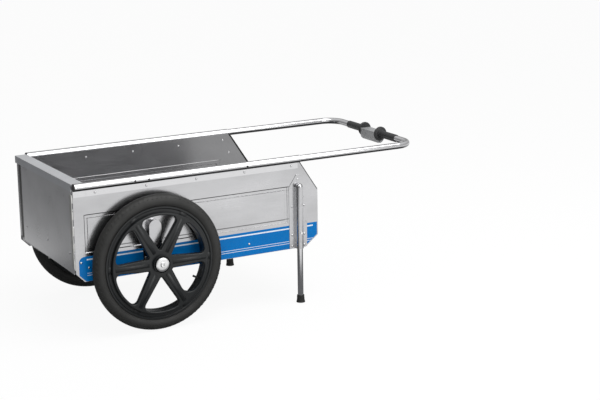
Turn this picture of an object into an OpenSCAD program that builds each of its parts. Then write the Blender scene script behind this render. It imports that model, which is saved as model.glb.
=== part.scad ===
// Folding aluminium utility wagon: two riveted side panels on 20 inch wheels, a floor in two
// halves that folds upwards, a hinged tail gate and a telescoping pull handle.
// +X points to the handle, +Y to the left side, +Z up; the wagon stands on z = 0.
// The right side is drawn; the left side is its mirror image.

/* [Box] */
// Length of the side panels
box_len = 992; // [940:1:1080]
// Width over the outer faces of the side panels
box_w = 580; // [560:1:620]
// Height of the lower edge of the side panels above the ground
side_edge_z = 212; // [206:1:220]
// Height of the top rails' centre line
rail_z = 564; // [550:1:600]
// Thickness of the aluminium sheet
sheet = 1.6; // [1.4:0.1:2]
// Chamfer of the lower tail corner
tail_chamfer = 32; // [20:1:45]
// Length of the chamfer at the lower handle corner
toe_chamfer_x = 55; // [40:1:60]
// Height of the chamfer at the lower handle corner
toe_chamfer_z = 42; // [30:1:60]
// Length of the chamfer at the upper handle corner
top_chamfer_x = 86; // [70:1:90]
// Height of the chamfer at the upper handle corner
top_chamfer_z = 130; // [100:1:150]
// Width of the folded lip round the handle end of a side panel
lip_w = 10; // [6:1:12]
// Width of the folded lip at the tail edge of the left side panel
tail_lip = 19; // [12:1:22]

/* [Pressed groove] */
// Depth that the groove is pressed inwards
groove_depth = 2; // [1:0.5:4]
// Width of the groove at the panel's face
groove_w = 14; // [10:1:18]
// Width of each sloped wall of the groove
groove_slope = 3; // [2:0.5:4]
// Distance of the groove from the tail edge
groove_tail = 38; // [34:1:60]
// Gap between the groove and the leg bracket
groove_leg_gap = 6; // [2:1:20]
// Height of the groove's lower edge above the panel's lower edge
groove_low = 105; // [104:1:120]
// Height of the field that the groove encloses, with the groove
groove_field_h = 141; // [110:1:160]

/* [Rails] */
// Outer diameter of the rail tube
rail_d = 28.6; // [28:0.1:30]
// Depth of the rail's riveting strip below the tube
rail_strip = 25; // [16:1:30]
// Thickness of the riveting strip
rail_strip_t = 2; // [1.5:0.1:2.5]
// Distance of the first rivet from the tail edge
rail_rivet_tail = 84; // [70:1:110]
// Distance of the last rivet from the rail's mouth
rail_rivet_end = 28; // [20:1:60]
// Number of rivets along each rail
rail_rivets_n = 5; // [4:1:8]
// Length of a rail plug's rim
plug_t = 2.5; // [2:0.1:4]

/* [Rivets] */
// Diameter of a rivet head
rivet_d = 9; // [7:0.5:10]
// Diameter of a rivet shank
rivet_shank = 4.8; // [4:0.1:5]
// Height of a rivet head
rivet_h = 2; // [1.5:0.1:2.4]

/* [Floor and hinges] */
// Height of the floor's top face above the panels' lower edge
floor_rise = 42; // [38:1:48]
// Depth of the turned-down floor edges
floor_flange = 12; // [10:1:16]
// Play between the floor and the side panels' folded lips
floor_end_gap = 6; // [4:1:10]
// Height of the side hinges' axes above the floor
hinge_rise = 6; // [5.6:0.1:12]
// Radius of a hinge knuckle
knuckle_r = 4; // [3.6:0.1:4]
// Radius of the floor hinges' pins
hinge_pin_r = 1.9; // [1.6:0.1:2]
// Radial play of a hinge pin in its knuckles
pin_play = 0.06; // [0.03:0.01:0.09]
// Thickness of a hinge leaf
leaf_t = 1.2; // [1:0.1:1.4]
// Width of a hinge leaf
leaf_w = 20; // [18:1:22]
// Number of knuckles of a floor hinge
knuckles_n = 16; // [8:2:20]
// Gap between neighbouring knuckles
knuckle_gap = 0.6; // [0.4:0.1:1]

/* [Tail gate] */
// Gap between the gate and the side panels' tail edges
gate_gap = 1.5; // [1.3:0.1:2]
// Depth that the gate's lower edge hangs below the floor's top face at the hinge
gate_drop = 12; // [4:0.5:14]
// Rise of the gate's lower edge from the hinge to its free edge
gate_skew = 12; // [0:0.5:16]
// Distance of the gate's free edge from the left side panel's outer face
gate_free_gap = 52; // [44:1:60]
// Width of the rubber strip that stands out past the gate's free edge
seal_w = 29; // [20:1:32]
// Thickness of the rubber strip
seal_t = 1.1; // [0.8:0.1:1.2]
// Width of the gate's cap
cap_w = 46; // [40:1:50]
// Height of the cap's outer lip
cap_h = 27; // [20:1:30]
// Height of the cap's inner lip
cap_inner_h = 8; // [4:0.5:8]
// Height of the cap's top above the rails' centre line
cap_rise = 10; // [10:0.5:16]
// Gap between the cap and the left rail's plug
cap_gap = 2.2; // [1:0.1:4]
// Number of rivets across the gate
gate_rivets_n = 3; // [2:1:5]
// Height of the gate's rivets above the floor's top face
gate_rivet_rise = 60; // [40:1:120]
// Number of knuckles of the gate's hinge
gate_knuckles_n = 9; // [7:2:13]
// Radius of the gate's hinge pin
gate_pin_r = 1.6; // [1.4:0.1:1.7]

/* [Wheels] */
// Outer diameter of a tyre
wheel_d = 508; // [500:1:512]
// Width of a tyre
tyre_w = 50; // [46:1:52]
// Distance of an axle from the tail edge
axle_x = 303; // [290:1:320]
// Gap between a tyre and the side panel
tyre_gap = 9; // [8:1:14]
// Diameter of a bearing, outside
bearing_d = 35; // [32:1:37]
// Width of a bearing
bearing_w = 11; // [10:0.5:12]
// Diameter of the axle
axle_d = 15; // [14:0.1:15]
// Diameter of the hub
hub_d = 66; // [60:1:70]
// Number of spokes
spokes_n = 6; // [5:1:7]
// Width of a spoke at the hub
spoke_w_hub = 46; // [40:1:52]
// Width of a spoke at the rim
spoke_w_rim = 32; // [26:1:44]
// Thickness of a spoke
spoke_t = 20; // [16:1:22]

/* [Legs] */
// Distance of a leg from the handle end
leg_back = 87; // [82:1:92]
// Diameter of a leg tube
leg_d = 22; // [20:0.1:22]
// Wall of a leg tube
leg_wall = 2; // [1.5:0.1:2.2]
// Travel of a leg into its bracket
leg_travel = 70; // [50:1:72]
// Wall of the leg bracket's ridge
leg_bracket_wall = 3; // [2.8:0.1:3.2]
// Height of the leg bracket's flanges
leg_bracket_h = 242; // [236:1:250]
// Half width of the leg bracket's flanges
leg_bracket_half = 38; // [34:1:40]
// Height of the diamond top above the flanges
diamond_h = 46; // [36:1:50]
// Diameter of the leg's release button
button_d = 9; // [8:0.5:10]
// Height of the button above the panel's lower edge
button_rise = 64; // [55:1:75]

/* [Axle brackets] */
// Width of the axle bracket's ridge
axle_ridge_w = 48; // [44:1:52]
// Depth of the axle bracket's ridge
axle_ridge_depth = 20; // [18:1:21]
// Height of the axle bracket's ridge
axle_ridge_h = 197; // [180:1:205]
// Width of each riveted flange
axle_flange_w = 18; // [14:1:22]

/* [Pull handle] */
// Diameter of a handle tube
handle_d = 25.4; // [25:0.1:25.4]
// Wall of a handle tube
handle_wall = 1.5; // [1.2:0.1:1.8]
// Length from the rail's mouth to the crossbar's centre line
handle_reach = 512; // [470:1:540]
// Length of handle tube left inside the rail
handle_overlap = 250; // [200:1:280]
// Bend radius of a handle tube
handle_bend = 68; // [60:1:75]
// Diameter of a grip
grip_d = 30; // [29:0.5:34]
// Length of a grip
grip_len = 100; // [80:1:130]
// Diameter of a stop disc
disc_d = 57; // [50:1:60]
// Width of a stop disc at its rim
disc_w = 8; // [6:0.5:10]
// Length of the coupler between the discs
coupler_len = 112; // [94:1:120]
// Width of the coupler block
coupler_w = 44; // [40:1:46]
// Height of the coupler block above the tube's centre line
coupler_rise = 7; // [4:0.5:10]
// Depth of the coupler block below the tube's centre line
coupler_drop = 40; // [34:1:44]
// Thickness of the tongue
tongue_t = 5; // [4:0.1:6]
// Length of the tongue inside the coupler block
tongue_len = 34; // [28:1:38]

/* [Hidden] */
$fn = 48;
eps = 0.01;
seat = 0.3;            // gap left between curved faces that only rest on each other
fit = 0.1;             // radial play of a sliding or turning fit

half_w = box_w / 2;
inner_y = half_w - sheet;
rail_y = half_w + rail_d / 2;
rail_bore = handle_d + 2 * fit;
rail_mouth = box_len - top_chamfer_x;
floor_z = side_edge_z + floor_rise;
rivet_z = rail_z - rail_d / 2 - rail_strip / 2 - 1;

side_axis_y = inner_y - leaf_t - knuckle_r + 0.1;
side_axis_z = floor_z + hinge_rise;
centre_axis_z = floor_z - floor_flange - knuckle_r;
floor_x0 = sheet + 1.4;
floor_x1 = box_len - floor_end_gap;
floor_y = side_axis_y - knuckle_r;
centre_gap = 0.3;
hinge_x0 = 8;
hinge_x1 = box_len - 24;

leg_x = box_len - leg_back;
plate_t = 2;
ridge_r = leg_d / 2 + fit + leg_bracket_wall;
leg_y = half_w + plate_t + leg_d / 2 + seat;
bracket_top = side_edge_z + leg_bracket_h;
leg_top = bracket_top - leg_travel - 6;
foot_h = 28;
foot_floor = 6;

wheel_r = wheel_d / 2;
tyre_r = tyre_w / 2;
tyre_y = half_w + tyre_gap + tyre_r;
well_r = wheel_r - tyre_w - 0.3;
rim_inner_r = 179;
rim_flange_r = well_r + 7.3;
rim_half = 20;
hub_in = half_w + axle_ridge_depth + plate_t + 3;
hub_out = tyre_y + 40;
spoke_out = hub_out - 11;

gate_x = -gate_gap;
gate_axis_x = -5;
gate_axis_y = -(inner_y - 2.9);
gate_knuckle_r = 3.2;
gate_low = floor_z - gate_drop;
gate_y0 = -half_w + 9;
gate_y1 = half_w - gate_free_gap;
cap_top = rail_z + cap_rise;
cap_x0 = gate_x - sheet * 2;
cap_y0 = gate_axis_y + 1.5;
cap_y1 = half_w + 2.4 + sheet;
left_rail_x0 = cap_x0 + cap_w + cap_gap + plug_t;
tail_x = gate_axis_x - gate_knuckle_r;

cross_x = rail_mouth + handle_reach;
handle_in = rail_mouth - handle_overlap;
coupler_half = coupler_len / 2;
disc_y = coupler_half + disc_w;
flare = 16;
grip_y1 = disc_y + flare + grip_len;
coupler_gap = 1;

front_x = cross_x + disc_d / 2;
mid_x = (tail_x + front_x) / 2;

function spread(a, b, n) = [for (i = [0 : n - 1]) a + (b - a) * i / (n - 1)];
rail_rivet_x = spread(rail_rivet_tail, rail_mouth - rail_rivet_end, rail_rivets_n);
leg_rivet_z = [for (k = [10, 54, 166]) side_edge_z + k];
axle_rivet_z = [for (k = [12, 56, 95]) side_edge_z + k];
gate_rivet_y = spread(gate_y0 + 36, gate_y1 - 36, gate_rivets_n);
gate_rivet_z = floor_z + gate_rivet_rise;

// ---- shared shapes ----

module place() translate([-mid_x, 0, 0]) children();
module left_side() mirror([0, 1, 0]) children();

// A plate in the XZ plane whose outer face lies at y = -y_out and which is t thick
module upright(y_out, t) translate([0, -y_out + t, 0]) rotate([90, 0, 0]) linear_extrude(t) children();

// A bar along Y at (x, z), from y0 to y1
module bar_y(x, z, y0, y1, d) translate([x, y0, z]) rotate([-90, 0, 0]) cylinder(d = d, h = y1 - y0);

// A bar along X at (y, z), from x0 to x1
module bar_x(y, z, x0, x1, d) translate([x0, y, z]) rotate([0, 90, 0]) cylinder(d = d, h = x1 - x0);

// A domed rivet head whose flat lies on the face y = -y_out, with a shank through depth
module rivet(x, y_out, z, depth) translate([x, -y_out, z]) rotate([90, 0, 0]) {
    intersection() {
        translate([0, 0, rivet_h - rivet_d * 0.9]) sphere(d = rivet_d * 1.8, $fn = 32);
        cylinder(d = rivet_d, h = rivet_h, $fn = 24);
    }
    translate([0, 0, -depth]) cylinder(d = rivet_shank, h = depth + eps, $fn = 20);
    translate([0, 0, -depth - rivet_h / 2]) cylinder(d = rivet_d * 0.8, h = rivet_h / 2, $fn = 24);
}
module rivet_hole(x, z) translate([x, 0, z]) rotate([90, 0, 0])
    cylinder(d = rivet_shank + 0.1, h = box_w, $fn = 20);

// Spans of the even or odd knuckles of a hinge between a and b
function knuckle_len(a, b, n) = (b - a) / n;
module knuckle_spans(a, b, n, odd) for (i = [odd : 2 : n - 1])
    translate([a + i * knuckle_len(a, b, n) + knuckle_gap / 2, 0, 0]) children();

// ---- side panels ----

module panel_outline() polygon([
    [0, side_edge_z + tail_chamfer],
    [tail_chamfer, side_edge_z],
    [box_len - toe_chamfer_x, side_edge_z],
    [box_len, side_edge_z + toe_chamfer_z],
    [box_len, rail_z - top_chamfer_z],
    [rail_mouth, rail_z],
    [0, rail_z]]);

groove_x0 = groove_tail;
groove_x1 = leg_x - leg_bracket_half - groove_leg_gap;
groove_z0 = side_edge_z + groove_low;
groove_z1 = groove_z0 + groove_field_h;

// A slab over the field, cut in from its outline by a at one face and by b at the other
module field_slab(a, b, near_face, far_face) hull() for (face = [[a, near_face], [b, far_face - eps]])
    translate([groove_x0 + face[0], -half_w + face[1], groove_z0 + face[0]])
        cube([groove_x1 - groove_x0 - 2 * face[0], eps, groove_z1 - groove_z0 - 2 * face[0]]);

module panel_lip() intersection() {
    translate([0, -half_w, 0]) cube([box_len, lip_w, rail_z]);
    translate([0, -half_w + lip_w, 0]) rotate([90, 0, 0]) linear_extrude(lip_w) difference() {
        panel_outline();
        polygon([
            [-1, side_edge_z - 1],
            [box_len - toe_chamfer_x - 1, side_edge_z - 1],
            [box_len - toe_chamfer_x, side_edge_z + sheet * 1.3],
            [box_len - sheet, side_edge_z + toe_chamfer_z + sheet * 0.5],
            [box_len - sheet, rail_z - top_chamfer_z - sheet * 0.5],
            [rail_mouth - sheet * 1.2, rail_z + 1],
            [-1, rail_z + 1]]);
    }
}

module side_panel(tail_fold) difference() {
    union() {
        if (tail_fold > 0) translate([0, -half_w, floor_z + 8])
            cube([sheet, tail_fold, rail_z - floor_z - 10]);
        upright(half_w, sheet) panel_outline();
        field_slab(-sheet, groove_slope - sheet, 0, groove_depth + sheet);
        panel_lip();
    }
    difference() {
        field_slab(0, groove_slope, -eps, groove_depth);
        field_slab(groove_w, groove_w - groove_slope, -1, groove_depth + 1);
    }
    field_slab(groove_w + sheet, groove_w + sheet - groove_slope, sheet, groove_depth + sheet + 1);
    for (x = rail_rivet_x) rivet_hole(x, rivet_z);
    for (z = leg_rivet_z) for (s = [-1, 1]) rivet_hole(leg_x + s * (ridge_r + 12), z);
    rivet_hole(leg_x, bracket_top + diamond_h * 0.62);
    for (z = axle_rivet_z) for (s = [-1, 1])
        rivet_hole(axle_x + s * (axle_ridge_w / 2 + axle_flange_w / 2), z);
}

module rail(start) difference() {
    union() {
        bar_x(-rail_y, rail_z, start, rail_mouth, rail_d);
        translate([start, -half_w - rail_strip_t, rail_z - rail_d / 2 - rail_strip])
            cube([rail_mouth - start, rail_strip_t, rail_d / 2 + rail_strip - 6]);
    }
    bar_x(-rail_y, rail_z, start - 1, rail_mouth + 1, rail_bore);
    for (x = rail_rivet_x) rivet_hole(x, rivet_z);
}

module rail_plug(start) {
    bar_x(-rail_y, rail_z, start - plug_t, start, rail_d);
    bar_x(-rail_y, rail_z, start - eps, start + 14, rail_bore - 0.1);
}

module rail_rivets() for (x = rail_rivet_x) rivet(x, half_w + rail_strip_t, rivet_z, rail_strip_t + sheet);

module leg_bracket() difference() {
    union() {
        upright(half_w + plate_t, plate_t) polygon([
            [leg_x - leg_bracket_half, side_edge_z + 2],
            [leg_x + leg_bracket_half, side_edge_z + 2],
            [leg_x + leg_bracket_half, bracket_top],
            [leg_x + 6, bracket_top + diamond_h],
            [leg_x - 6, bracket_top + diamond_h],
            [leg_x - leg_bracket_half, bracket_top]]);
        translate([leg_x, -leg_y, side_edge_z + 2]) cylinder(r = ridge_r, h = leg_bracket_h - 2);
        translate([leg_x, -leg_y, bracket_top]) sphere(r = ridge_r);
        translate([leg_x - ridge_r, -leg_y, side_edge_z + 2])
            cube([2 * ridge_r, leg_y - half_w - eps, leg_bracket_h - 2]);
    }
    translate([leg_x, -leg_y, side_edge_z]) cylinder(d = leg_d + 2 * fit, h = leg_bracket_h);
    translate([leg_x - leg_d / 2 - fit, -leg_y, side_edge_z])
        cube([leg_d + 2 * fit, leg_y - half_w + 1, leg_bracket_h]);
    translate([0, -half_w, 0]) cube([box_len, half_w, rail_z]);
    for (z = leg_rivet_z) for (s = [-1, 1]) rivet_hole(leg_x + s * (ridge_r + 12), z);
    rivet_hole(leg_x, bracket_top + diamond_h * 0.62);
    bar_y(leg_x, side_edge_z + button_rise, -half_w - 60, -leg_y, button_d + 2 * fit);
}

module axle_ridge(grow, depth) upright(half_w + depth, depth) {
    translate([axle_x - axle_ridge_w / 2 - grow, side_edge_z + 2])
        square([axle_ridge_w + 2 * grow, axle_ridge_h - axle_ridge_w / 2 - 2]);
    translate([axle_x, side_edge_z + axle_ridge_h - axle_ridge_w / 2])
        circle(d = axle_ridge_w + 2 * grow);
}

module axle_bracket() difference() {
    union() {
        axle_ridge(axle_flange_w, plate_t);
        axle_ridge(0, axle_ridge_depth + plate_t);
    }
    difference() {
        translate([0, 0.5, 0]) axle_ridge(-plate_t, axle_ridge_depth + 0.5);
        translate([0, -half_w, side_edge_z]) cube([box_len, half_w, 4]);
    }
    translate([0, -half_w, 0]) cube([box_len, half_w, rail_z]);
    bar_y(axle_x, wheel_r, -half_w - 60, -half_w, axle_d + 0.1);
    for (z = axle_rivet_z) for (s = [-1, 1])
        rivet_hole(axle_x + s * (axle_ridge_w / 2 + axle_flange_w / 2), z);
}

module bracket_rivets() {
    for (z = leg_rivet_z) for (s = [-1, 1])
        rivet(leg_x + s * (ridge_r + 12), half_w + plate_t, z, plate_t + sheet);
    rivet(leg_x, half_w + plate_t, bracket_top + diamond_h * 0.62, plate_t + sheet);
    for (z = axle_rivet_z) for (s = [-1, 1])
        rivet(axle_x + s * (axle_ridge_w / 2 + axle_flange_w / 2), half_w + plate_t, z, plate_t + sheet);
}

// The stub axle: a head inside the bracket's ridge, a shaft and a threaded end
module axle() {
    bar_y(axle_x, wheel_r, -half_w - axle_ridge_depth, -half_w - axle_ridge_depth + 7, axle_d * 2.2);
    bar_y(axle_x, wheel_r, -hub_out - 0.2, -half_w - axle_ridge_depth + eps, axle_d);
    bar_y(axle_x, wheel_r, -hub_in + 0.2, -half_w - axle_ridge_depth - plate_t, axle_d * 1.5);
}

module axle_cap() translate([axle_x, -hub_out - 0.2, wheel_r]) rotate([90, 0, 0]) difference() {
    union() {
        cylinder(d = 45, h = 3);
        translate([0, 0, 3 - eps]) cylinder(d1 = 42, d2 = 34, h = 2.5);
        translate([0, 0, 5]) cylinder(d = 19, h = 5);
    }
    translate([0, 0, 6]) cylinder(d = 11, h = 6, $fn = 6);
}

// ---- floor ----

// Half of the floor: a sheet with its edges turned down
module floor_half() difference() {
    translate([floor_x0, -floor_y, floor_z - floor_flange])
        cube([floor_x1 - floor_x0, floor_y - centre_gap, floor_flange]);
    translate([floor_x0 + sheet, -floor_y - 1, floor_z - floor_flange - 1])
        cube([floor_x1 - floor_x0 - 2 * sheet, floor_y - centre_gap - sheet + 1,
              floor_flange - sheet + 1]);
}

module hinge_knuckles(y, z, a, b, n, odd) difference() {
    knuckle_spans(a, b, n, odd) bar_x(y, z, 0, knuckle_len(a, b, n) - knuckle_gap, 2 * knuckle_r);
    bar_x(y, z, a - 1, b + 1, 2 * (hinge_pin_r + pin_play));
}

// A strip under or over the knuckles of one hinge half, cut clear of the pin
module hinge_tabs(y, z, a, b, n, odd, from, size) difference() {
    knuckle_spans(a, b, n, odd) translate([0, from[0], from[1]])
        cube([knuckle_len(a, b, n) - knuckle_gap, size[0], size[1]]);
    bar_x(y, z, a - 1, b + 1, 2 * (hinge_pin_r + pin_play));
}

module hinge_side_leaf() {
    leaf_top = side_axis_z - knuckle_r - 1.5;
    translate([hinge_x0, -inner_y, leaf_top - leaf_w + 4])
        cube([hinge_x1 - hinge_x0, leaf_t, leaf_w - 4]);
    hinge_knuckles(-side_axis_y, side_axis_z, hinge_x0, hinge_x1, knuckles_n, 0);
    hinge_tabs(-side_axis_y, side_axis_z, hinge_x0, hinge_x1, knuckles_n, 0,
        [-inner_y, leaf_top - eps], [leaf_t + 1.5, side_axis_z - leaf_top]);
}

module hinge_floor_leaf() {
    translate([hinge_x0, -floor_y, floor_z]) cube([hinge_x1 - hinge_x0, leaf_w, leaf_t]);
    hinge_knuckles(-side_axis_y, side_axis_z, hinge_x0, hinge_x1, knuckles_n, 1);
    hinge_tabs(-side_axis_y, side_axis_z, hinge_x0, hinge_x1, knuckles_n, 1,
        [-floor_y - 1.7, floor_z], [leaf_t + 1.7, side_axis_z - floor_z]);
}

module side_hinge_pin() bar_x(-side_axis_y, side_axis_z, hinge_x0, hinge_x1, 2 * hinge_pin_r);

module centre_leaf(odd) {
    leaf_y = centre_gap + sheet;
    leaf_low = centre_axis_z + knuckle_r + 1;
    translate([floor_x0 + sheet, -leaf_y - leaf_t, leaf_low])
        cube([floor_x1 - floor_x0 - 2 * sheet, leaf_t, floor_z - sheet - 1 - leaf_low]);
    hinge_knuckles(0, centre_axis_z, floor_x0 + sheet, floor_x1 - sheet, knuckles_n, odd);
    hinge_tabs(0, centre_axis_z, floor_x0 + sheet, floor_x1 - sheet, knuckles_n, odd,
        [-knuckle_r, centre_axis_z], [knuckle_r - leaf_y, leaf_low - centre_axis_z + eps]);
}

// ---- tail gate ----

// The gate: one flat sheet whose lower edge rises towards the free side
module tail_gate() difference() {
    translate([gate_x - sheet, 0, 0]) rotate([90, 0, 90]) linear_extrude(sheet) polygon([
        [gate_y0, gate_low],
        [gate_y1, gate_low + gate_skew],
        [gate_y1, cap_top - sheet],
        [gate_y0, cap_top - sheet]]);
    for (y = gate_rivet_y) translate([gate_x - 10, y, gate_rivet_z]) rotate([0, 90, 0])
        cylinder(d = rivet_shank + 0.1, h = 12, $fn = 20);
}

// The cap: a channel folded over the gate's upper edge, closed at both ends
module gate_cap() difference() {
    translate([cap_x0, cap_y0, cap_top - cap_h]) cube([cap_w, cap_y1 - cap_y0, cap_h]);
    translate([cap_x0 + sheet, cap_y0 + sheet, cap_top - cap_h - 1])
        cube([cap_w - 2 * sheet, cap_y1 - cap_y0 - 2 * sheet, cap_h + 1 - sheet]);
    translate([cap_x0 + cap_w - sheet - eps, cap_y0 - 1, cap_top - cap_h - 1])
        cube([sheet + 1, cap_y1 - cap_y0 + 2, cap_h + 1 - cap_inner_h]);
}

module gate_seal() translate([gate_x, gate_y1 - 12, floor_z + 8])
    cube([seal_t, seal_w + 12, cap_top - cap_h - floor_z - 10]);

module gate_rivets() for (y = gate_rivet_y) translate([gate_x - sheet, y, gate_rivet_z])
    rotate([0, 0, -90]) rivet(0, 0, 0, sheet);

gate_hinge_z0 = gate_low + 24;
gate_hinge_len = cap_top - cap_h - 12 - gate_hinge_z0;

module gate_knuckles(odd) {
    len = gate_hinge_len / gate_knuckles_n;
    difference() {
        for (i = [odd : 2 : gate_knuckles_n - 1])
            translate([gate_axis_x, gate_axis_y, gate_hinge_z0 + i * len + knuckle_gap / 2]) {
                cylinder(r = gate_knuckle_r, h = len - knuckle_gap);
                if (odd == 0) translate([0, -inner_y - gate_axis_y, 0])
                    cube([-gate_axis_x + 22, leaf_t, len - knuckle_gap]);
                else translate([gate_x - sheet - leaf_t - gate_axis_x, 2, 0])
                    cube([leaf_t, gate_y0 - gate_axis_y - 1, len - knuckle_gap]);
            }
        translate([gate_axis_x, gate_axis_y, gate_hinge_z0 - 1])
            cylinder(r = gate_pin_r + pin_play, h = gate_hinge_len + 2);
    }
}

module gate_fixed_leaf() {
    gate_knuckles(0);
    translate([6, -inner_y, gate_hinge_z0]) cube([11, leaf_t, gate_hinge_len]);
}

module gate_hinge_leaf() {
    gate_knuckles(1);
    translate([gate_x - sheet - leaf_t, gate_y0, gate_hinge_z0]) cube([leaf_t, 17, gate_hinge_len]);
}

module gate_hinge_pin() translate([gate_axis_x, gate_axis_y, gate_hinge_z0])
    cylinder(r = gate_pin_r, h = gate_hinge_len);

// ---- wheels, drawn about the axle with the outer face towards -Y ----

module wheel_place() translate([axle_x, -tyre_y, wheel_r]) rotate([90, 0, 0]) children();

module tyre() wheel_place() rotate_extrude($fn = 120) difference() {
    intersection() {
        translate([wheel_r - tyre_r, 0]) circle(r = tyre_r);
        translate([well_r, -tyre_w]) square([tyre_w * 2, tyre_w * 2]);
    }
    translate([wheel_r - tyre_r, 0]) circle(r = tyre_r - 4.5);
    translate([0, -tyre_r * 0.45]) square([wheel_r - tyre_r * 1.6, tyre_r * 0.9]);
}

valve_angle = -28;
module inner_tube() wheel_place() {
    rotate_extrude($fn = 96) translate([wheel_r - tyre_r, 0]) difference() {
        circle(r = tyre_r - 4.8);
        circle(r = tyre_r - 6.5);
    }
    rotate([0, 0, valve_angle]) translate([rim_inner_r - 22, 0, 0]) rotate([0, 90, 0])
        cylinder(d = 8, h = wheel_r - tyre_w - rim_inner_r + 28, $fn = 24);
}

module spoke_outline(grow) polygon([
    [hub_d / 2 - 10, -spoke_w_hub / 2 - grow],
    [rim_inner_r + 3, -spoke_w_rim / 2 - grow],
    [rim_inner_r + 3, spoke_w_rim / 2 + grow],
    [hub_d / 2 - 10, spoke_w_hub / 2 + grow]]);

module wheel() {
    out = hub_out - tyre_y;
    face = spoke_out - tyre_y;
    wheel_place() difference() {
        union() {
            rotate_extrude($fn = 120) polygon([
                [rim_inner_r, -rim_half], [rim_flange_r, -rim_half],
                [rim_flange_r, -rim_half + 2.2], [well_r - 0.3, -rim_half + 2.2],
                [well_r - 0.3, rim_half - 2.2], [rim_flange_r, rim_half - 2.2],
                [rim_flange_r, rim_half], [rim_inner_r, rim_half]]);
            translate([0, 0, hub_in - tyre_y]) cylinder(d = hub_d, h = hub_out - hub_in);
            translate([0, 0, face - spoke_t]) linear_extrude(spoke_t)
                for (i = [0 : spokes_n - 1]) rotate(i * 360 / spokes_n) spoke_outline(0);
        }
        translate([0, 0, face - spoke_t - 1]) linear_extrude(spoke_t - 5)
            for (i = [0 : spokes_n - 1]) rotate(i * 360 / spokes_n) intersection() {
                spoke_outline(-5);
                translate([hub_d / 2 + 8, -spoke_w_hub])
                    square([rim_inner_r - hub_d / 2 - 14, 2 * spoke_w_hub]);
            }
        translate([0, 0, hub_in - tyre_y - 1]) cylinder(d = axle_d + 3, h = hub_out - hub_in + 2);
        translate([0, 0, hub_in - tyre_y - 1]) cylinder(d = bearing_d, h = bearing_w + 2);
        translate([0, 0, out - bearing_w - 1]) cylinder(d = bearing_d, h = bearing_w + 2);
        rotate([0, 0, valve_angle]) translate([rim_inner_r - 10, 0, 0]) rotate([0, 90, 0])
            cylinder(d = 8.8, h = 60, $fn = 24);
    }
}

module bearing(y_in) translate([axle_x, -y_in, wheel_r]) rotate([90, 0, 0]) rotate_extrude()
    translate([axle_d / 2 + 0.05, 0]) square([(bearing_d - axle_d) / 2 - 0.06, bearing_w]);

module bearings() {
    bearing(hub_in);
    bearing(hub_out - bearing_w - 1);
}

// ---- legs ----

module leg() translate([leg_x, -leg_y, foot_floor]) difference() {
    cylinder(d = leg_d, h = leg_top - foot_floor);
    translate([0, 0, -1]) cylinder(d = leg_d - 2 * leg_wall, h = leg_top);
}

module foot() translate([leg_x, -leg_y, 0]) difference() {
    union() {
        cylinder(d1 = 34, d2 = 30, h = 10);
        translate([0, 0, 10 - eps]) cylinder(d1 = 30, d2 = leg_d + 6, h = foot_h - 10);
    }
    translate([0, 0, foot_floor]) cylinder(d = leg_d, h = foot_h);
}

button_out = 2.5;
module leg_button() bar_y(leg_x, side_edge_z + button_rise, -leg_y - ridge_r - button_out,
    -leg_y - ridge_r + 0.5, button_d);

// ---- pull handle ----

module handle_guide() {
    bar_x(-rail_y, rail_z, handle_in - 5, handle_in - 0.2, handle_d);
    bar_x(-rail_y, rail_z, handle_in - 5 + eps, handle_in + 22, handle_d - 2 * handle_wall - 2 * fit);
}

// The L-shaped tube: a straight run, a bend and half of the crossbar
module handle_tube() {
    inside = handle_d - 2 * handle_wall;
    translate([handle_in, -rail_y, rail_z]) rotate([0, 90, 0])
        pipe(cross_x - handle_bend - handle_in, handle_d, inside);
    translate([cross_x - handle_bend, -rail_y + handle_bend, rail_z]) rotate([0, 0, -90])
        rotate_extrude(angle = 90, $fn = 96) translate([handle_bend, 0]) difference() {
            circle(d = handle_d);
            circle(d = inside);
        }
    translate([cross_x, -rail_y + handle_bend, rail_z]) rotate([-90, 0, 0])
        pipe(rail_y - handle_bend - coupler_half - 2, handle_d, inside);
}

module pipe(len, outside, inside) difference() {
    cylinder(d = outside, h = len);
    translate([0, 0, -1]) cylinder(d = inside, h = len + 2);
}

module grip() translate([cross_x, -grip_y1, rail_z]) rotate([-90, 0, 0])
    pipe(grip_y1 - disc_y - flare, grip_d, handle_d);

// Stop disc with a flared neck towards the grip and a closed face towards the coupler
module stop_disc() translate([cross_x, -coupler_half, rail_z]) rotate([90, 0, 0]) difference() {
    rotate_extrude() polygon([
        [0, 0], [disc_d / 2 - 2, 0], [disc_d / 2, 2], [disc_d / 2, disc_w - 1],
        [disc_d / 2 - 2, disc_w + 1], [grip_d / 2 + 4, disc_w + 4], [grip_d / 2, disc_w + flare],
        [0, disc_w + flare]]);
    translate([0, 0, 2]) cylinder(d = handle_d, h = disc_w + flare);
}

module coupler_block() difference() {
    union() {
        translate([cross_x - coupler_w / 2, -coupler_half + coupler_gap,
                rail_z - coupler_drop + coupler_w / 2])
            cube([coupler_w, coupler_len - coupler_gap, coupler_rise + coupler_drop - coupler_w / 2]);
        bar_y(cross_x, rail_z - coupler_drop + coupler_w / 2, -coupler_half + coupler_gap, coupler_half,
            coupler_w);
    }
    translate([cross_x - tongue_t / 2 - 0.4, -coupler_half, rail_z - coupler_drop - 1])
        cube([tongue_t + 0.8, tongue_len + 2, coupler_drop + coupler_rise + 2]);
}

module coupler_tongue() translate([cross_x - tongue_t / 2, -coupler_half, rail_z - 12])
    cube([tongue_t, tongue_len, 18]);

// ---- the parts by name ----

alu = [0.74, 0.75, 0.76];
dark = [0.12, 0.12, 0.13];
steel = [0.62, 0.63, 0.65];

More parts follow.
